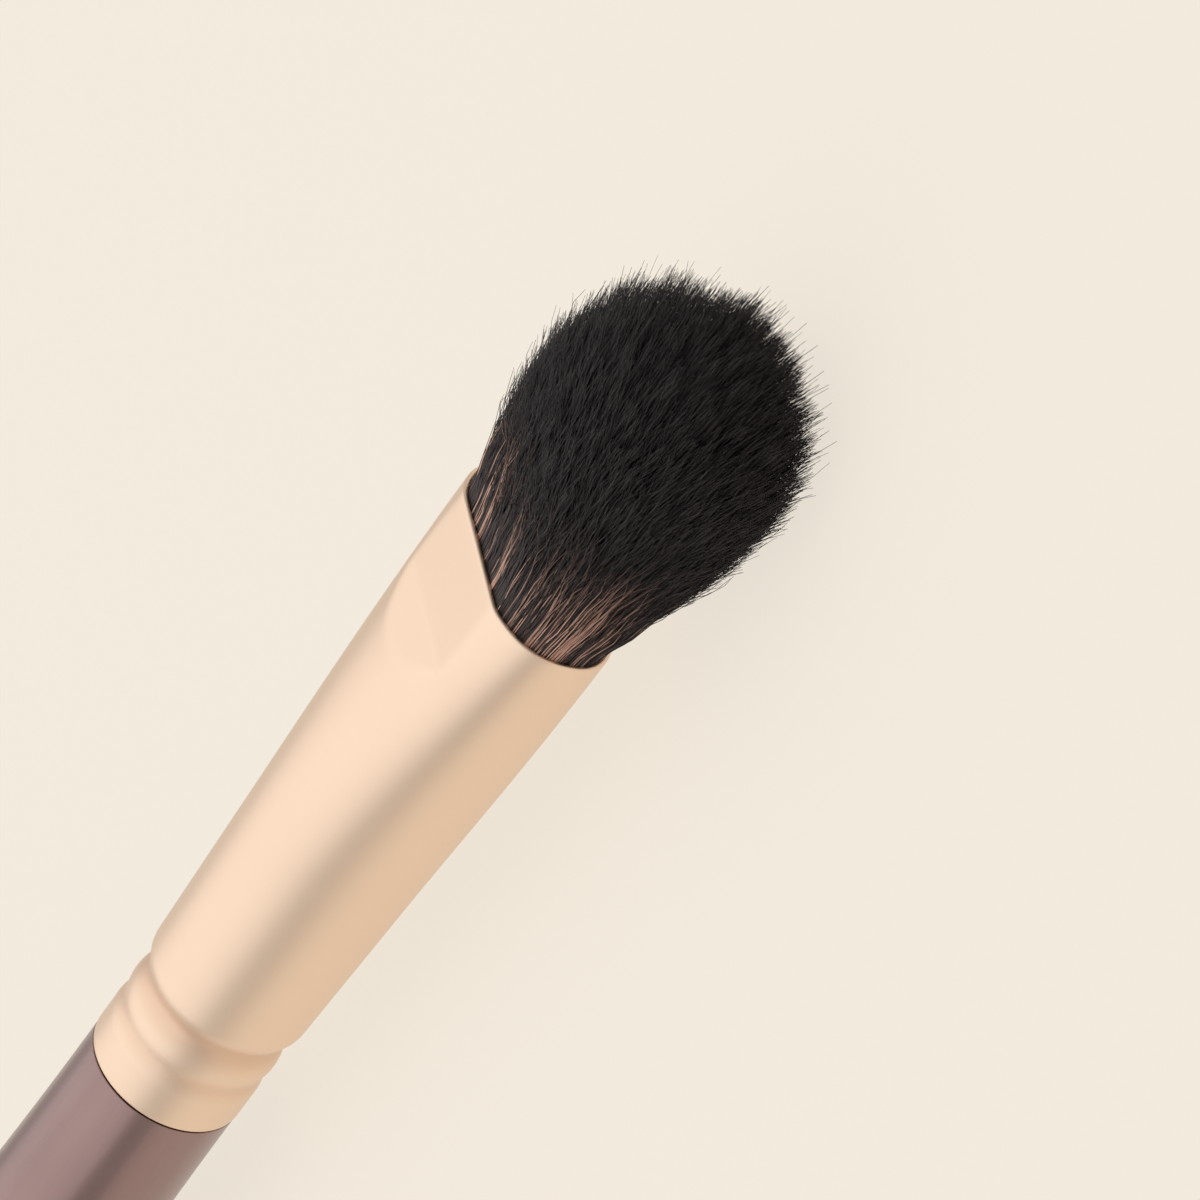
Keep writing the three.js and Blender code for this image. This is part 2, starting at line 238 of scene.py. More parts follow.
class HairSettings(bpy.types.PropertyGroup):
    """Sizes, growth and colours of the head of hair."""

    length: size("Length", "From the mouth to the top of the dome", 15.25 * MM)
    widest_at: size("Widest at", "Height of the widest section above the mouth", 9.8 * MM)
    root_half_width: size("Root half width", "Half of the bundle's wide side at the mouth", 5.54 * MM)
    root_half_height: size("Root half height", "Half of the bundle's thin side at the mouth", 2.66 * MM)
    root_crown: size("Root crown", "Half height of the oval that the flats cut down", 3.05 * MM)
    squareness: power("Squareness", "Power of the bundle's oval, 2 for an ellipse", 2.4)
    head_half_width: size("Head half width", "Half of the widest section across the brush", 5.85 * MM)
    head_half_height: size("Head half height", "Half of the widest section through the brush", 5.0 * MM)
    opening_power: power("Opening power", "How slowly the head opens above the mouth", 1.2)
    room_aside: size("Room aside", "Furthest that a hair strays to either side", 6.45 * MM)
    room_above: size("Room above", "Furthest that a hair strays upwards from the axis", 4.48 * MM)
    lean: share("Lean", "Drop towards the table for each unit of height", 0.11)
    spill: size("Spill", "How far the hair swells over the rim", 0.28 * MM)
    spill_height: size("Spill height", "Height at which the hair has swollen over the rim", 1.3 * MM)
    lowest_tip: size("Lowest tip", "Height at which the outermost hairs end", 5.8 * MM)
    dome_power: power("Dome power", "How fast the hairs grow longer towards the middle", 0.75)
    unevenness: size("Unevenness", "Spread of hair lengths", 1.8 * MM)
    lock_evenness: share("Lock evenness", "Share of that spread that a whole lock has in common", 0.45)
    stray: size("Stray", "How much longer a few stray hairs are", 0.35 * MM)
    embedded: size("Embedded", "Length of hair shown inside the ferrule", 2.2 * MM)
    bow: power("Bow", "How late a hair bends away from its root", 1.35)
    flare: size("Flare", "How far the tips turn outwards", 0.4 * MM)
    lock_flare: share("Lock flare", "Share of the flare that a whole lock has in common", 0.6)
    wander: size("Wander", "How far a hair strays from its path", 2.1 * MM)
    wander_full: share("Wander full", "Part of a hair's length where it strays furthest", 0.9)
    strand_radius: size("Strand radius", "Radius of one hair", 0.0265 * MM)
    thinnest: share("Thinnest", "Radius of the thinnest hair, in strand radii", 0.75, high=2.0)
    thickest: share("Thickest", "Radius of the thickest hair, in strand radii", 1.15, high=2.0)
    taper: share("Taper", "Share of its radius that a hair loses at the tip", 0.65)
    spacing: share("Spacing", "Least gap between roots, in radii of the bundle", 0.0103)
    locks: count("Locks", "Number of locks across a radius of the bundle", 15)
    gather: share("Gather", "How far the tips of a lock draw together", 0.56)
    gather_from: share("Gather from", "Part of a hair's length where its lock draws together", 0.8)
    least_gather: share("Least gather", "Share of the gathering that the loosest hair follows", 0.3)
    own_tone: share("Own tone", "Share of a hair's tone that isn't its lock's", 0.6)
    # Paleness picks the hairs that carry the painted pink reflection at the root
    own_pale: share("Own paleness", "Share of a hair's paleness that isn't its lock's", 0.5)
    crowding: power("Crowding", "How close the points of a hair stand near its tip", 1.35)
    rings: count("Rings", "Points along one hair", 8)
    seed: count("Seed", "Number that fixes the scatter", 4)
    black: colour("Black", "Colour of the dense hair", (0.0172, 0.0156, 0.0166))
    brown: colour("Brown", "Colour of the fine tips", (0.082, 0.071, 0.073))
    root: colour("Root", "Colour of the dark hair near the mouth", (0.105, 0.080, 0.075))
    # Painted reflection: the pink gleam of the warm light on some hairs at the root, painted into their
    # colour
    rosy_reflection: colour("Rosy", "Colour of the pale locks at the root", (0.740, 0.450, 0.345))


class StageSettings(bpy.types.PropertyGroup):
    """Floor, light and camera."""

    floor: colour("Floor", "Colour of the floor and the far background", (0.905, 0.838, 0.737))
    floor_size: size("Floor size", "Side of the square floor", 12.0)
    floor_glow: share("Floor glow", "Share of the floor's colour that no shadow reaches", 0.84)
    panel_size: size("Panel size", "Side of the soft panel overhead", 2.15)
    panel_height: size("Panel height", "Height of the panel over the floor", 0.62)
    panel_watts: bpy.props.FloatProperty(
        name="Panel power",
        description="Power of the soft panel",
        default=10.0,
        min=0.0,
        subtype="POWER",
        unit="POWER",
    )
    room: colour("Room", "Tint of the light from the rest of the room", (1.0, 0.97, 0.94))
    room_light: share("Room light", "Strength of the light from the rest of the room", 0.42)
    lens: bpy.props.FloatProperty(
        name="Lens",
        description="Focal length of the camera",
        default=216.0,
        subtype="DISTANCE_CAMERA",
        unit="CAMERA",
    )


class Field:
    """A value that varies over a piece, so that a rule reads as plain arithmetic."""

    def __init__(self, tree, socket):
        self.tree = tree
        self.socket = socket

    def math(self, operation, *others):
        """The output of a Math node that takes this value first."""
        values = dict(enumerate((self, *others)))
        return Field(self.tree, add_node(self.tree, "ShaderNodeMath", values, operation=operation).outputs[0])

    def __add__(self, other):
        return self.math("ADD", other)

    def __sub__(self, other):
        return self.math("SUBTRACT", other)

    def __rsub__(self, other):
        return self.math("MULTIPLY_ADD", -1.0, other)

    def __mul__(self, other):
        return self.math("MULTIPLY", other)

    def __truediv__(self, other):
        return self.math("DIVIDE", other)

    def __pow__(self, other):
        return self.math("POWER", other)

    def __abs__(self):
        return self.math("ABSOLUTE")

    __radd__ = __add__
    __rmul__ = __mul__


def open_socket(sockets, key):
    """A node's socket by its place or by its name, passing over the ones that its mode hides."""
    if isinstance(key, int):
        return sockets[key]
    return next(socket for socket in sockets if socket.enabled and socket.name == key)


def add_node(tree, kind, inputs=None, **settings):
    """Adds a node, sets its options and feeds its inputs with values, sockets or fields."""
    node = tree.nodes.new(kind)
    for name, value in settings.items():
        setattr(node, name, value)
    for key, value in (inputs or {}).items():
        socket = open_socket(node.inputs, key)
        if isinstance(value, Field):
            tree.links.new(value.socket, socket)
        elif isinstance(value, bpy.types.NodeSocket):
            tree.links.new(value, socket)
        else:
            socket.default_value = value
    return node


def split(tree, vector):
    """The three parts of a vector."""
    node = add_node(tree, "ShaderNodeSeparateXYZ", {0: vector})
    return [Field(tree, socket) for socket in node.outputs]


def join(tree, x, y, z):
    """A vector from three parts."""
    return Field(tree, add_node(tree, "ShaderNodeCombineXYZ", {0: x, 1: y, 2: z}).outputs[0])


def blend(start, end, weight):
    """Goes from start to end as weight goes from 0 to 1."""
    return start + (end - start) * weight


def ease(field, low, high):
    """Rises smoothly from 0 at low to 1 at high."""
    inputs = {"Value": field, "From Min": low, "From Max": high}
    node = add_node(field.tree, "ShaderNodeMapRange", inputs, interpolation_type="SMOOTHSTEP")
    return Field(field.tree, open_socket(node.outputs, "Result"))


def noise(tree, vector, scale, detail=2.0, roughness=0.5):
    """Smooth noise from 0 to 1."""
    inputs = {"Vector": vector, "Scale": scale, "Detail": detail, "Roughness": roughness}
    return Field(tree, add_node(tree, "ShaderNodeTexNoise", inputs).outputs[0])


class Rule:
    """A Geometry Nodes tree whose named inputs are the sizes in one group of settings."""

    def __init__(self, name, settings, names):
        self.tree = bpy.data.node_groups.new(name, "GeometryNodeTree")
        self.tree.is_modifier = True
        self.settings = settings
        interface = self.tree.interface
        interface.new_socket("Geometry", in_out="INPUT", socket_type="NodeSocketGeometry")
        interface.new_socket("Material", in_out="INPUT", socket_type="NodeSocketMaterial")
        interface.new_socket("Geometry", in_out="OUTPUT", socket_type="NodeSocketGeometry")
        self.places = {}
        for key in names:
            whole = isinstance(getattr(settings, key), int)
            kind = "NodeSocketInt" if whole else "NodeSocketFloat"
            label = settings.bl_rna.properties[key].name
            self.places[key] = interface.new_socket(label, in_out="INPUT", socket_type=kind).identifier
        group_input = self.tree.nodes.new("NodeGroupInput")
        self.geometry = group_input.outputs[0]
        self.material = group_input.outputs[1]
        for key, socket in zip(names, group_input.outputs[2:]):
            setattr(self, key, Field(self.tree, socket))

    def node(self, kind, inputs=None, **settings):
        """Adds a node to the tree."""
        return add_node(self.tree, kind, inputs, **settings)

    def position(self):
        """The three parts of a point's place."""
        return split(self.tree, self.node("GeometryNodeInputPosition").outputs[0])

    def store(self, geometry, name, value, domain="POINT", data_type="FLOAT"):
        """Keeps a value on the geometry for the materials."""
        inputs = {"Geometry": geometry, "Name": name, "Value": value}
        options = {"domain": domain, "data_type": data_type}
        return self.node("GeometryNodeStoreNamedAttribute", inputs, **options).outputs[0]

    def roll_up(self, sheet, place):
        """Moves the points of a flat sheet to their places on the piece, welds its seam and ends the tree."""
        rolled = self.node("GeometryNodeSetPosition", {"Geometry": sheet, "Position": place}).outputs[0]
        welded = self.node("GeometryNodeMergeByDistance", {"Geometry": rolled, "Distance": WELD}).outputs[0]
        self.finish(welded)

    def finish(self, geometry):
        """Ends the tree: plain smooth mesh with its material."""
        smooth = self.node("GeometryNodeSetShadeSmooth", {"Geometry": geometry}).outputs[0]
        real = self.node("GeometryNodeRealizeInstances", {"Geometry": smooth}).outputs[0]
        inputs = {"Geometry": real, "Material": self.material}
        dressed = self.node("GeometryNodeSetMaterial", inputs).outputs[0]
        self.node("NodeGroupOutput", {0: dressed})

    def make(self, name, start, material, **changes):
        """Runs the tree on a start mesh and returns a plain object in the frame of the solids."""
        piece = bpy.data.objects.new(name, start)
        bpy.context.scene.collection.objects.link(piece)
        modifier = piece.modifiers.new(self.tree.name, "NODES")
        modifier.node_group = self.tree
        modifier[self.tree.interface.items_tree["Material"].identifier] = material
        for key, identifier in self.places.items():
            modifier[identifier] = changes.get(key, getattr(self.settings, key))
        graph = bpy.context.evaluated_depsgraph_get()
        made = bpy.data.meshes.new_from_object(piece.evaluated_get(graph), depsgraph=graph)
        piece.modifiers.clear()
        piece.data = made
        bpy.data.meshes.remove(start)
        if not made.polygons:
            raise RuntimeError(f"{name} came out empty")
        made.name = name
        made.transform(brush_pose())
        return piece


def brush_pose():
    """Turns brush axes into the frame of the solids, from the flat at the butt."""
    butt = next(mount for mount in frame["record"]["mounts"] if mount["name"] == "butt_flat")
    along = -Vector(butt["axis"])
    across = Vector((0.0, 1.0, 0.0))
    up = along.cross(across)
    turn = Matrix((along, across, up)).transposed().to_4x4()
    return Matrix.Translation(butt["pos_m"]) @ turn


def steps(start, end, number):
    """Evenly spaced values from start to end."""
    return [start + (end - start) * i / number for i in range(number + 1)]


def grid_mesh(name, points, rows, columns):
    """A mesh of square faces over points that stand in rows."""
    row = columns + 1
    faces = [
        (r * row + c, r * row + c + 1, (r + 1) * row + c + 1, (r + 1) * row + c)
        for r in range(rows)
        for c in range(columns)
    ]
    mesh = bpy.data.meshes.new(name)
    mesh.from_pydata(points, [], faces)
    return mesh


def unrolled_sheet(name, profile, sides):
    """A flat sheet of (along, angle, depth) points, which a tree rolls up about the X axis."""
    angles = steps(0.0, 2 * math.pi, sides)
    points = [(along, angle, depth) for along, depth in profile for angle in angles]
    return grid_mesh(name, points, len(profile) - 1, sides)


def keep_wrap(rule, girth):
    """Keeps the unrolled place of each point as a UV map in metres."""
    along, angle, _ = rule.position()
    place = join(rule.tree, along, angle * girth, 0.0)
    return rule.store(rule.geometry, "wrap", place, "CORNER", "FLOAT2")


def settle(piece, node):
    """Hides the solid that a piece stands for and attaches the piece to the brush's body."""
    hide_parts(node)
    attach(piece, BODY)


def crimp_depth(along):
    """How far the crimps press the tube inwards at a distance from its back end."""
    depth = 0.0
    for at, deepest, reach in CRIMPS:
        offset = min(abs(along - at) / reach, 1.0)
        depth += (1 + math.cos(math.pi * offset)) * deepest / 2
    return depth


def handle_radius(handle, along):
    """Swells from the neck to the belly and narrows towards the butt."""
    if along > handle.belly_at:
        rise = (handle.length - along) / (handle.length - handle.belly_at)
        rise = rise * rise * (3 - 2 * rise)
        return handle.neck_radius + (handle.belly_radius - handle.neck_radius) * rise
    fall = (1 - along / handle.belly_at) ** handle.tail_power
    return handle.belly_radius - (handle.belly_radius - handle.tail_radius) * fall


def handle_profile(handle):
    """Distance along and radius, from the middle of the butt to the end of the tenon."""
    flat = handle.butt_flat_radius
    profile = [(0.0, radius) for radius in steps(0.0, flat, BUTT_STEPS)]
    for angle in steps(0.0, math.pi / 2, EDGE_STEPS)[1:]:
        along = handle.butt_rounding * (1 - math.cos(angle))
        profile.append((along, flat + (handle_radius(handle, along) - flat) * math.sin(angle)))
    body_end = handle.length - handle.shoulder_edge
    for along in [*steps(handle.butt_rounding, body_end, BODY_STEPS)[1:], handle.length]:
        profile.append((along, handle_radius(handle, along)))
    profile.append((handle.length, handle.neck_radius - handle.shoulder_edge))
    for along in steps(0.0, handle.tenon_length - handle.tenon_chamfer, TENON_STEPS):
        profile.append((handle.length + along, handle.tenon_radius - crimp_depth(along)))
    end = handle.length + handle.tenon_length
    profile.append((end, handle.tenon_radius - handle.tenon_chamfer))
    profile.append((end, 0.0))
    return profile


def turning_rule(handle):
    """Rolls a sheet whose depth is the radius into a turned piece."""
    rule = Rule("Turned handle", handle, ("belly_radius",))
    along, angle, radius = rule.position()
    place = join(rule.tree, along, radius * angle.math("COSINE"), radius * angle.math("SINE"))
    rule.roll_up(keep_wrap(rule, rule.belly_radius), place)
    return rule


def ferrule_profile(ferrule):
    """Distance along and depth under the outer skin, once round the wall from its back end."""
    lip = ferrule.wall / 2
    back = ferrule.clearance + lip
    front = ferrule.length - lip
    rounding = steps(0.0, math.pi, LIP_STEPS)[1:-1]
    outside = [(along, 0.0) for along in steps(back, front, OUTSIDE_STEPS)]
    front_lip = [(front + lip * math.sin(angle), lip - lip * math.cos(angle)) for angle in rounding]
    inside = [(along, ferrule.wall) for along in steps(front, back, INSIDE_STEPS)]
    back_lip = [(back - lip * math.sin(angle), lip + lip * math.cos(angle)) for angle in rounding]
    return [*outside, *front_lip, *inside, *back_lip, outside[0]]


def crimp_field(along):
    """How far the crimps press the tube inwards, over the whole sheet."""
    dents = []
    for at, deepest, reach in CRIMPS:
        offset = (abs(along - at) / reach).math("MINIMUM", 1.0)
        dents.append(((offset * math.pi).math("COSINE") + 1.0) * (deepest / 2))
    return sum(dents[1:], dents[0])


def pressing_rule(ferrule):
    """Rolls the wall into a tube, crimps it on the handle and presses its mouth to a flat oval."""
    sizes = (
        "length", "collar_radius", "cone_start", "cone_back_radius", "cone_front_radius", "mouth_half_width",
        "mouth_half_height", "crown_half_height", "squareness", "pressed_length", "press_power",
        "flat_length", "flat_slope", "ledge_slope", "ledge_softness",
    )
    rule = Rule("Pressed ferrule", ferrule, sizes)
    along, angle, inset = rule.position()

    # The round tube: a crimped collar, a shoulder and a cone
    crimped = crimp_field(along)
    shoulder = ease(along, CRIMPS[-1][0], rule.cone_start)
    opening = ((along - rule.cone_start) / (rule.length - rule.cone_start)).math("MAXIMUM", 0.0)
    round_radius = blend(rule.collar_radius, rule.cone_back_radius, shoulder) - crimped
    round_radius = round_radius + (rule.cone_front_radius - rule.cone_back_radius) * opening - inset

    # The oval that its front is pressed to
    press = ((along - rule.length) / rule.pressed_length + 1.0).math("MAXIMUM", 0.0) ** rule.press_power
    corner = ELLIPSE * blend(ELLIPSE, rule.squareness, press) ** -1.0
    across = angle.math("COSINE")
    up = angle.math("SINE")
    half_width = blend(round_radius, rule.mouth_half_width - inset, press)
    half_height = blend(round_radius, rule.crown_half_height - inset, press)
    wide = half_width * across.math("SIGN") * abs(across) ** corner
    tall = half_height * abs(up) ** corner

    # The two flats at the mouth, each with a ledge behind it
    behind = rule.length - along
    flat = rule.mouth_half_height + rule.flat_slope * behind - inset
    flat = flat + rule.ledge_slope * (behind - rule.flat_length).math("MAXIMUM", 0.0)
    tall = tall.math("SMOOTH_MIN", flat, rule.ledge_softness)

    start = bpy.context.scene.brush_handle.length
    place = join(rule.tree, along + start, wide, tall * up.math("SIGN"))
    deepest_crimp = max(deepest for _, deepest, _ in CRIMPS)
    # Depth of the crimps, kept as the mask of the painted shade in the plating
    sheet = rule.store(keep_wrap(rule, rule.collar_radius), "groove", crimped / deepest_crimp)
    rule.roll_up(sheet, place)
    return rule


def root_bed(name, low, high):
    """A slice of the unit disc between two heights, where the roots of one layer stand."""
    points = []
    for up in steps(low, high, BED_ROWS):
        reach = math.sqrt(max(1 - up * up, 0.0))
        points += [(across * reach, up, 0.0) for across in steps(-1.0, 1.0, BED_COLUMNS)]
    return grid_mesh(name, points, BED_ROWS, BED_COLUMNS)


def planted_strands(rule):
    """Straight strands of unit length on roots that are scattered evenly over their bed."""
    scatter = {
        "Mesh": rule.geometry,
        "Distance Min": rule.spacing,
        "Density Max": MOST_ROOTS,
        "Seed": rule.seed,
    }
    roots = rule.node("GeometryNodeDistributePointsOnFaces", scatter, distribute_method="POISSON").outputs[0]
    line = rule.node("GeometryNodeCurvePrimitiveLine", {"End": (0.0, 0.0, 1.0)}).outputs[0]
    stem = rule.node("GeometryNodeResampleCurve", {"Curve": line, "Count": rule.rings}).outputs[0]
    planted = rule.node("GeometryNodeInstanceOnPoints", {"Points": roots, "Instance": stem}).outputs[0]
    return rule.node("GeometryNodeRealizeInstances", {"Geometry": planted}).outputs[0]


def root_place(rule, side_wide, side_tall, spread):
    """Where a hair stands in the pressed oval of the mouth."""
    wide = side_wide * spread * rule.root_half_width
    tall = (abs(side_tall) * rule.root_crown).math("MINIMUM", rule.root_half_height)
    return wide, tall * spread * side_tall.math("SIGN")


def tip_place(rule, side_wide, side_tall, spread):
    """Height and place of a hair's tip on the outline of the head, low at its edge and high in its middle."""
    dome = (1.0 - spread * spread).math("MAXIMUM", 0.0) ** rule.dome_power
    tip = blend(rule.lowest_tip, rule.length, dome)
    opening = ((tip / rule.widest_at).math("MINIMUM", 1.0) * (math.pi / 2)).math("SINE")
    opening = opening ** rule.opening_power
    above = (tip - rule.widest_at).math("MAXIMUM", 0.0) / (rule.length - rule.widest_at)
    closing = (1.0 - above * above).math("MAXIMUM", 0.0) ** 0.5
    wide = side_wide * blend(rule.root_half_width, rule.head_half_width, opening) * closing
    tall = side_tall * blend(rule.root_half_height, rule.head_half_height, opening) * closing
    return tip, wide, tall


def sway(rule, strand, reached, gone):
    """How far a hair strays from its path, more and more towards its tip."""
    drift = join(rule.tree, strand * DRIFT_APART, reached * DRIFT_ALONG, rule.seed * DRIFT_SEED)
    bend = rule.node("ShaderNodeTexNoise", {"Vector": drift, "Scale": 1.0, "Detail": 1.0})
    wide, tall, _ = split(rule.tree, open_socket(bend.outputs, "Color"))
    loose = rule.wander * ease(gone, low=0.0, high=rule.wander_full)
    return (wide - NOISE_MIDDLE) * loose, (tall - NOISE_MIDDLE) * loose


def held_in_room(rule, along, wide, tall):
    """Keeps a hair in the room of the head and above the table."""
    pose = brush_pose()
    table = (along * pose[2][0] + pose[2][3]) * (-1.0 / pose[2][2]) + rule.strand_radius
    wide = wide.math("MINIMUM", rule.room_aside).math("MAXIMUM", rule.room_aside * -1.0)
    tall = tall.math("MINIMUM", rule.room_above).math("MAXIMUM", table)
    return wide, tall


def grown_strands(rule, strands, place, thickness):
    """Moves the points of the strands to their places and makes solid hairs of them."""
    sized = rule.node("GeometryNodeSetCurveRadius", {"Curve": strands, "Radius": thickness}).outputs[0]
    grown = rule.node("GeometryNodeSetPosition", {"Geometry": sized, "Position": place}).outputs[0]
    ring = {"Resolution": STRAND_SIDES, "Radius": 1.0}
    section = rule.node("GeometryNodeCurvePrimitiveCircle", ring).outputs[0]
    radius = rule.node("GeometryNodeInputRadius").outputs[0]
    swept = {"Curve": grown, "Profile Curve": section, "Scale": radius, "Fill Caps": True}
    return rule.node("GeometryNodeCurveToMesh", swept).outputs[0]


def hair_rule(hair):
    """Grows fine hairs from a bed of roots: packed at the mouth, open at the belly, in locks at the tips."""
    colours = ("black", "brown", "root", "rosy_reflection")
    sizes = [name for name in HairSettings.__annotations__ if name not in colours]
    rule = Rule("Hair layer", hair, sizes)
    tree = rule.tree
    strands = planted_strands(rule)
    strand = Field(tree, rule.node("GeometryNodeCurveOfPoint").outputs[0])

    def chance(draw):
        """A number from 0 to 1 for each hair."""
        inputs = {"ID": strand, "Seed": rule.seed + DRAW_STEP * (DRAWS.index(draw) + 1)}
        return Field(tree, open_socket(rule.node("FunctionNodeRandomValue", inputs).outputs, "Value"))

    across, up, step = rule.position()
    cells = {"Vector": join(tree, across, up, 0.0), "Scale": rule.locks}
    lock = rule.node("ShaderNodeTexVoronoi", cells, voronoi_dimensions="2D")
    lock_across, lock_up, _ = split(tree, open_socket(lock.outputs, "Position"))
    lock_tone, lock_length, lock_turn = split(tree, open_socket(lock.outputs, "Color"))
    # Which locks carry the painted pink reflection at the root
    lock_pale = (lock_tone * TONE_FOLDS + lock_turn * TURN_FOLDS).math("FRACT")

    # A hair's place in the disc draws towards the middle of its lock near the tip
    reached = 1.0 - (1.0 - step) ** rule.crowding
    astray = ease(chance("stray"), low=STRAY_FROM, high=STRAY_FULL)
    drawn = rule.gather * ease(reached, low=rule.gather_from, high=1.0)
    drawn = drawn * blend(rule.least_gather, 1.0, chance("gather")) * (1.0 - astray)
    held_across = blend(across, lock_across, drawn)
    held_up = blend(up, lock_up, drawn)
    spread = (held_across * held_across + held_up * held_up) ** 0.5
    corner = ELLIPSE * rule.squareness ** -1.0
    side_wide = held_across.math("SIGN") * abs(held_across / spread) ** corner
    side_tall = held_up.math("SIGN") * abs(held_up / spread) ** corner
    root_wide, root_tall = root_place(rule, side_wide, side_tall, spread)
    tip, tip_wide, tip_tall = tip_place(rule, side_wide, side_tall, spread)

    # The hair runs from its root towards that tip, a little short of it or past it, and strays on the way
    shorter = rule.unevenness * blend(chance("length") ** LENGTH_POWER, lock_length, rule.lock_evenness)
    shorter = shorter * (1.0 - astray)
    height = blend(rule.embedded * -1.0, tip - shorter + rule.stray * astray, reached)
    free = height.math("MAXIMUM", 0.0)
    gone = free / tip
    turned = blend(chance("flare"), lock_turn, rule.lock_flare) + astray * STRAY_FLARE
    outward = rule.flare * gone ** FLARE_POWER * turned
    outward = outward + rule.spill * spread * ease(free, low=0.0, high=rule.spill_height)
    opened = gone ** rule.bow
    sway_wide, sway_tall = sway(rule, strand, reached, gone)
    wide = blend(root_wide, tip_wide, opened) + side_wide * outward + sway_wide
    tall = blend(root_tall, tip_tall, opened) + side_tall * outward + sway_tall - rule.lean * free
    along = height + (bpy.context.scene.brush_handle.length + bpy.context.scene.brush_ferrule.length)
    wide, tall = held_in_room(rule, along, wide, tall)

    kept = rule.store(strands, "reached", reached)
    kept = rule.store(kept, "height", free / rule.length)
    kept = rule.store(kept, "tone", blend(lock_tone, chance("tone"), rule.own_tone))
    # Which hairs carry the painted pink reflection at the root
    kept = rule.store(kept, "pale", blend(lock_pale, chance("pale"), rule.own_pale))
    thickness = rule.strand_radius * (1.0 - reached ** TAPER_POWER * rule.taper)
    thickness = thickness * blend(rule.thinnest, rule.thickest, chance("girth"))
    rule.finish(grown_strands(rule, kept, join(tree, along, wide, tall), thickness))
    return rule


def new_material(name, constants):
    """A node material with a Principled shader whose plain values are set on its own sockets."""
    material = bpy.data.materials.new(name)
    material.use_nodes = True
    tree = material.node_tree
    shader = tree.nodes["Principled BSDF"]
    for key, value in constants.items():
        shader.inputs[key].default_value = value
    return material, tree, shader


def rgba(value):
    """A colour with full cover."""
    return (*value, 1.0)


def tint(tree, factor, low, high):
    """Mixes two colours by a field."""
    inputs = {"Factor": factor, "A": low, "B": high}
    mix = add_node(tree, "ShaderNodeMix", inputs, data_type="RGBA")
    return Field(tree, open_socket(mix.outputs, "Result"))


def feed(shader, key, field):
    """Links a field to one of the shader's sockets."""
    field.tree.links.new(field.socket, shader.inputs[key])


def bump(tree, shader, height, distance):
    """Raises fine relief on the surface."""
    relief = add_node(tree, "ShaderNodeBump", {"Height": height, "Distance": distance, "Strength": 1.0})
    feed(shader, "Normal", Field(tree, relief.outputs[0]))


def attribute(tree, name):
    """A value that a tree kept on the piece."""
    return Field(tree, open_socket(add_node(tree, "ShaderNodeAttribute", attribute_name=name).outputs, "Fac"))


def wrapped(tree, along, around):
    """The unrolled place on a turned piece, stretched along and around."""
    place = add_node(tree, "ShaderNodeUVMap", uv_map="wrap").outputs[0]
    inputs = {"Vector": place, "Scale": (along, around, 1.0)}
    return add_node(tree, "ShaderNodeMapping", inputs).outputs[0]


def object_place(tree):
    """The place on a piece in the frame of the solids."""
    return add_node(tree, "ShaderNodeTexCoord").outputs["Object"]


def lacquer_material(handle):
    """Satin pearl lacquer over turned wood, with faint grain, fine orange peel and a rubbed butt."""
    finish = {"Metallic": 0.92, "Coat Weight": 0.3, "Coat Roughness": 0.25}
    grain_colour = 0.6
    grain_relief = 0.3
    rubbed_colour = 0.5
    rubbed_roughness = 0.12
    flake_roughness = 0.10
    relief = 0.004 * MM
    material, tree, shader = new_material("mauve_lacquer", finish)
    place = object_place(tree)
    grain = noise(tree, wrapped(tree, along=60.0, around=900.0), scale=1.0, detail=4.0, roughness=0.6)
    mottle = noise(tree, place, scale=180.0, detail=3.0)
    flake = noise(tree, place, scale=9000.0, detail=1.0)
    peel = noise(tree, place, scale=1500.0)
    drawn_in = ease(blend(mottle, grain, grain_colour), low=0.35, high=0.65)
    base = tint(tree, drawn_in, rgba(handle.lacquer_deep), rgba(handle.lacquer))
    along = split(tree, place)[0]
    butt = brush_pose().translation.x
    rubbed = ease(along, low=butt + handle.rubbed_length, high=butt + handle.rubbed_end)
    rubbed = rubbed * ease(mottle, low=0.4, high=0.62)
    feed(shader, "Base Color", tint(tree, rubbed * rubbed_colour, base, rgba(handle.worn_wood)))
    feed(shader, "Roughness", handle.roughness + flake * flake_roughness + rubbed * rubbed_roughness)
    bump(tree, shader, blend(peel, grain, grain_relief), relief)
    return material


def metal_material(ferrule):
    """Rose plating with a satin polish round the tube, with painted shade darkening it in the crimps, where
    it is also duller.
    """
    least_groove_shade = 0.45
    most_groove_shade = 0.9
    polish_roughness = 0.07
    cloud_roughness = 0.05
    groove_roughness = 0.05
    relief = 0.0012 * MM
    material, tree, shader = new_material("rose_plating", {"Metallic": 1.0})
    polish = noise(tree, wrapped(tree, along=9000.0, around=260.0), scale=1.0, detail=3.0, roughness=0.6)
    cloud = noise(tree, object_place(tree), scale=260.0, detail=3.0)
    # Painted shade: the crimps darken the plating's colour, more where the cloud is, and also make it duller
    groove_shade = attribute(tree, "groove") * blend(least_groove_shade, most_groove_shade, cloud)
    feed(shader, "Base Color", tint(tree, groove_shade, rgba(ferrule.metal), rgba(ferrule.groove)))
    roughness = ferrule.roughness + polish * polish_roughness + cloud * cloud_roughness
    feed(shader, "Roughness", roughness + groove_shade * groove_roughness)
    bump(tree, shader, polish, relief)
    return material


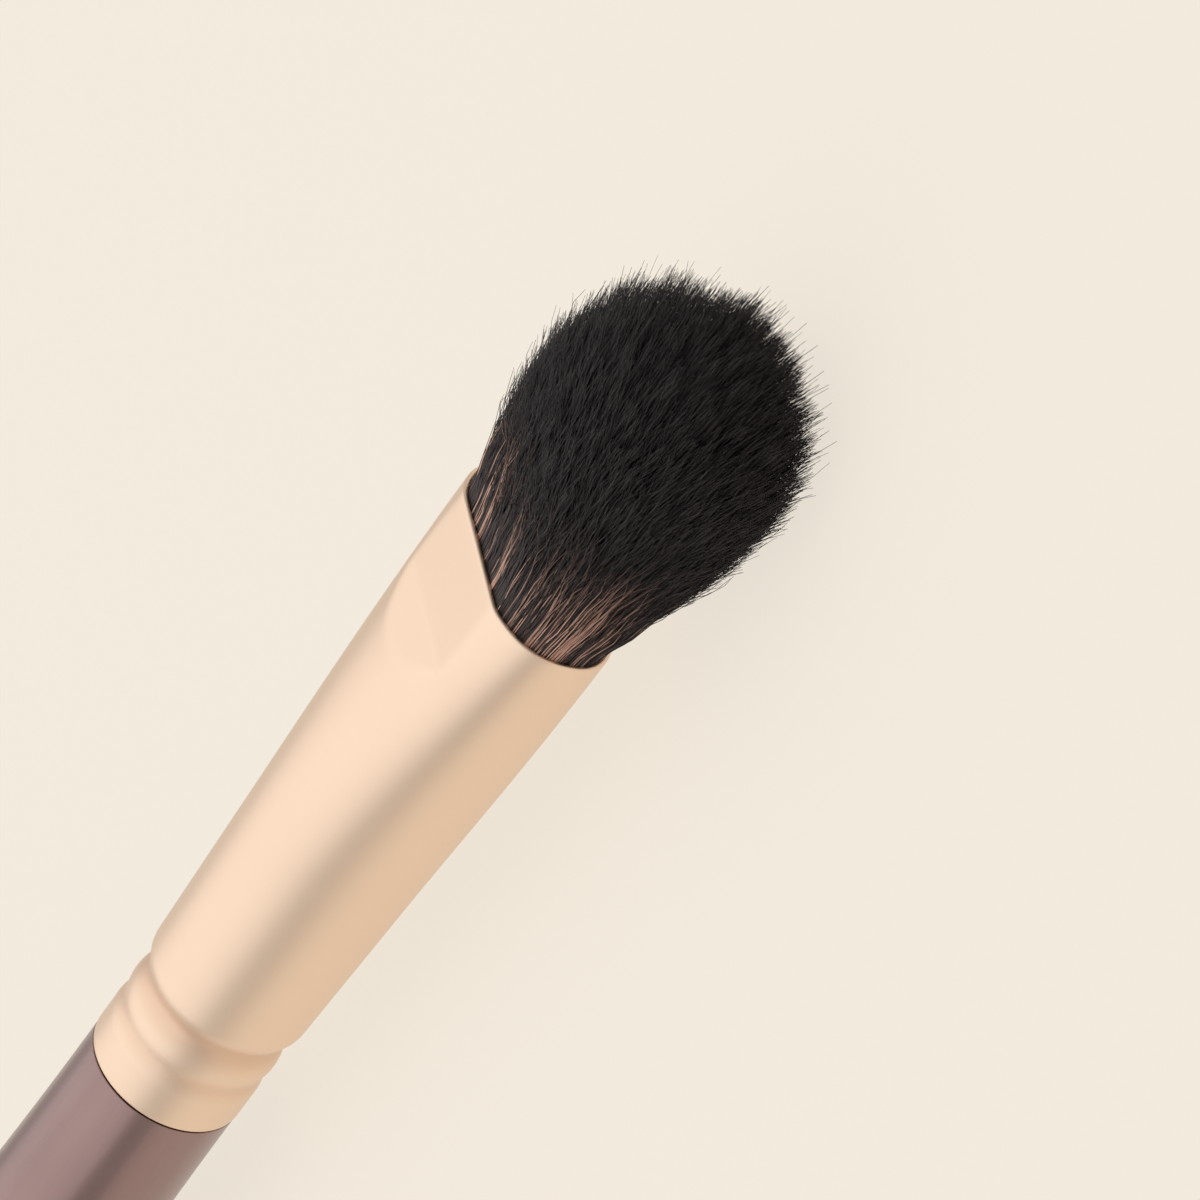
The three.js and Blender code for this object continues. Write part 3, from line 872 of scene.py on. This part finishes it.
def hair_material(hair):
    """Soft black hair: uneven tone from hair to hair, brown fine tips and a painted pink reflection of the
    warm light on some locks at the root.
    """
    tip_browning = 0.7
    root_browning = 0.55
    ragged = 0.26
    material, tree, shader = new_material("black_hair", {"Roughness": 0.48, "Specular IOR Level": 0.25})
    tone = attribute(tree, "tone")
    streak = noise(tree, object_place(tree), scale=900.0)
    uneven = ease(tone, low=0.45, high=1.0) * ease(streak, low=0.3, high=0.7)
    dark = tint(tree, uneven, rgba(hair.black), rgba(hair.brown))
    tip = ease(attribute(tree, "reached"), low=0.78, high=1.0)
    tipped = tint(tree, tip * tip_browning, dark, rgba(hair.brown))
    root = ease(attribute(tree, "height") + tone * ragged, low=0.54, high=0.16)
    rooted = tint(tree, root * root_browning, tipped, rgba(hair.root))
    # Painted reflection: a pink gleam painted into some hairs near the mouth, fading upwards with the root
    # mask
    rosy_reflection = ease(attribute(tree, "pale"), low=0.62, high=0.70) * root
    feed(shader, "Base Color", tint(tree, rosy_reflection, rooted, rgba(hair.rosy_reflection)))
    return material


def glue_material(name, pale, bubble_scale, roughness):
    """Set adhesive or cast resin, cloudy and slightly uneven."""
    deep_share = 0.7
    cloud_roughness = 0.15
    relief = 0.02 * MM
    material, tree, shader = new_material(name, {"Transmission Weight": 0.2, "IOR": 1.5})
    cloud = noise(tree, object_place(tree), bubble_scale, detail=4.0, roughness=0.6)
    deep = [deep_share * part for part in pale]
    feed(shader, "Base Color", tint(tree, cloud, rgba(deep), rgba(pale)))
    feed(shader, "Roughness", roughness + cloud * cloud_roughness)
    bump(tree, shader, cloud, relief)
    return material


def thread_material(inner):
    """Undyed thread wound side by side, with the twist of its yarn and painted shade between the turns."""
    fibre_share = 0.3
    relief = 0.05 * MM
    material, tree, shader = new_material("binding_thread", {"Roughness": 0.85, "Sheen Weight": 0.3})
    inputs = {"Vector": object_place(tree), "Scale": 900.0, "Distortion": 0.6}
    turns = add_node(tree, "ShaderNodeTexWave", inputs)
    winding = Field(tree, open_socket(turns.outputs, "Fac"))
    fibre = noise(tree, object_place(tree), scale=8000.0)
    # Painted shade between the turns, mixed with the yarn's fibre
    shaded = tint(tree, blend(winding, fibre, fibre_share), rgba(inner.thread_gap), rgba(inner.thread))
    feed(shader, "Base Color", shaded)
    bump(tree, shader, winding, relief)
    return material


def floor_material(stage):
    """The pale floor: its own colour to the camera and in reflections, with a softened shadow."""
    material = bpy.data.materials.new("pale_floor")
    material.use_nodes = True
    tree = material.node_tree
    tree.nodes.clear()
    path = add_node(tree, "ShaderNodeLightPath")
    rays = ("Is Camera Ray", "Is Glossy Ray", "Is Transmission Ray")
    camera_ray, glossy_ray, through_ray = (Field(tree, path.outputs[name]) for name in rays)
    shown = camera_ray.math("MAXIMUM", glossy_ray).math("MAXIMUM", through_ray)
    lit = add_node(tree, "ShaderNodeBsdfDiffuse", {"Color": rgba(stage.floor)}).outputs[0]
    glow = add_node(tree, "ShaderNodeEmission", {"Color": rgba(stage.floor), "Strength": 1.0}).outputs[0]
    mixed = add_node(tree, "ShaderNodeMixShader", {0: shown * stage.floor_glow, 1: lit, 2: glow}).outputs[0]
    add_node(tree, "ShaderNodeOutputMaterial", {"Surface": mixed})
    return material


class BRUSH_OT_stage(bpy.types.Operator):
    """Set up the pale floor, the soft overhead panel, the room light and the camera"""

    bl_idname = "brush.stage"
    bl_label = "Stage"

    def execute(self, context):
        stage = context.scene.brush_stage
        self.add_floor(context, stage)
        self.add_panel(context, stage)
        self.add_room(context, stage)
        self.add_camera(context, stage)
        context.scene.view_settings.view_transform = "Standard"
        return {"FINISHED"}

    def add_floor(self, context, stage):
        half = stage.floor_size / 2
        corners = [(-half, -half, 0.0), (half, -half, 0.0), (half, half, 0.0), (-half, half, 0.0)]
        mesh = bpy.data.meshes.new("floor")
        mesh.from_pydata(corners, [], [(0, 1, 2, 3)])
        mesh.materials.append(floor_material(stage))
        floor = bpy.data.objects.new("floor", mesh)
        context.scene.collection.objects.link(floor)

    def add_panel(self, context, stage):
        panel = bpy.data.lights.new("overhead_panel", "AREA")
        panel.shape = "SQUARE"
        panel.size = stage.panel_size
        panel.energy = stage.panel_watts
        lamp = bpy.data.objects.new("overhead_panel", panel)
        lamp.location = (*PANEL_PLACE, stage.panel_height)
        lamp.visible_camera = False
        context.scene.collection.objects.link(lamp)

    def add_room(self, context, stage):
        world = bpy.data.worlds.new("room")
        world.use_nodes = True
        tree = world.node_tree
        tree.nodes.clear()
        path = add_node(tree, "ShaderNodeLightPath")
        far = {"Color": rgba(stage.floor), "Strength": 1.0}
        near = {"Color": rgba(stage.room), "Strength": stage.room_light}
        chosen = {
            0: path.outputs["Is Camera Ray"],
            1: add_node(tree, "ShaderNodeBackground", near).outputs[0],
            2: add_node(tree, "ShaderNodeBackground", far).outputs[0],
        }
        mixed = add_node(tree, "ShaderNodeMixShader", chosen).outputs[0]
        add_node(tree, "ShaderNodeOutputWorld", {"Surface": mixed})
        context.scene.world = world

    def add_camera(self, context, stage):
        camera = bpy.data.cameras.new("camera")
        camera.lens = stage.lens
        camera.sensor_width = SENSOR_WIDTH
        camera.clip_start = NEAREST_SEEN
        back = Vector(CAMERA_BACK).normalized()
        up = back.cross(Vector(CAMERA_RIGHT)).normalized()
        turn = Matrix((up.cross(back), up, back)).transposed().to_4x4()
        eye = bpy.data.objects.new("camera", camera)
        eye.matrix_world = Matrix.Translation(CAMERA_PLACE) @ turn
        context.scene.collection.objects.link(eye)
        context.scene.camera = eye


class BRUSH_OT_handle(bpy.types.Operator):
    """Turn the lacquered handle with its tenon"""

    bl_idname = "brush.handle"
    bl_label = "Handle"

    def execute(self, context):
        handle = context.scene.brush_handle
        sheet = unrolled_sheet("handle_sheet", handle_profile(handle), HANDLE_SIDES)
        piece = turning_rule(handle).make("brush_handle", sheet, lacquer_material(handle))
        settle(piece, "handle")
        return {"FINISHED"}


class BRUSH_OT_ferrule(bpy.types.Operator):
    """Draw, crimp and press the metal ferrule"""

    bl_idname = "brush.ferrule"
    bl_label = "Ferrule"

    def execute(self, context):
        ferrule = context.scene.brush_ferrule
        sheet = unrolled_sheet("ferrule_sheet", ferrule_profile(ferrule), FERRULE_SIDES)
        piece = pressing_rule(ferrule).make("brush_ferrule", sheet, metal_material(ferrule))
        settle(piece, "ferrule")
        return {"FINISHED"}


class BRUSH_OT_inner_pieces(bpy.types.Operator):
    """Finish the glue, the resin and the binding that are sealed inside the ferrule"""

    bl_idname = "brush.inner_pieces"
    bl_label = "Inner Pieces"

    def execute(self, context):
        inner = context.scene.brush_inner
        finishes = {
            "tenon_glue": glue_material("set_adhesive", inner.adhesive, bubble_scale=700.0, roughness=0.40),
            "root_resin": glue_material("cast_resin", inner.resin, bubble_scale=400.0, roughness=0.22),
            "knot_binding": thread_material(inner),
        }
        for node, material in finishes.items():
            materials = frame["nodes"][node].data.materials
            materials.clear()
            materials.append(material)
        return {"FINISHED"}


class BRUSH_OT_hair(bpy.types.Operator):
    """Grow the four layers of the hair"""

    bl_idname = "brush.hair"
    bl_label = "Hair"

    def execute(self, context):
        hair = context.scene.brush_hair
        rule = hair_rule(hair)
        material = hair_material(hair)
        for number, (name, node, low, high) in enumerate(HAIR_LAYERS):
            piece = rule.make(name, root_bed(name, low, high), material, seed=hair.seed + number)
            settle(piece, node)
        return {"FINISHED"}


class BRUSH_PT_sidebar(bpy.types.Panel):
    """Lists the steps that dress the brush and their settings"""

    bl_idname = "BRUSH_PT_sidebar"
    bl_label = "Concealer Brush"
    bl_space_type = "VIEW_3D"
    bl_region_type = "UI"
    bl_category = "Brush"

    def draw(self, context):
        for key, (settings, operator) in STEPS.items():
            box = self.layout.box()
            box.operator(operator.bl_idname)
            group = getattr(context.scene, key)
            for name in settings.__annotations__:
                box.prop(group, name)


# Each step's settings on the scene, with their group and the operator that uses them
STEPS = {
    "brush_stage": (StageSettings, BRUSH_OT_stage),
    "brush_handle": (HandleSettings, BRUSH_OT_handle),
    "brush_ferrule": (FerruleSettings, BRUSH_OT_ferrule),
    "brush_inner": (InnerSettings, BRUSH_OT_inner_pieces),
    "brush_hair": (HairSettings, BRUSH_OT_hair),
}


def register():
    for key, (settings, operator) in STEPS.items():
        bpy.utils.register_class(settings)
        setattr(bpy.types.Scene, key, bpy.props.PointerProperty(type=settings))
        bpy.utils.register_class(operator)
    bpy.utils.register_class(BRUSH_PT_sidebar)


def unregister():
    bpy.utils.unregister_class(BRUSH_PT_sidebar)
    for key, (settings, operator) in STEPS.items():
        bpy.utils.unregister_class(operator)
        delattr(bpy.types.Scene, key)
        bpy.utils.unregister_class(settings)


def main():
    register()
    bpy.ops.brush.stage()
    bpy.ops.brush.handle()
    bpy.ops.brush.ferrule()
    bpy.ops.brush.inner_pieces()
    bpy.ops.brush.hair()


if __name__ == "__main__":
    main()
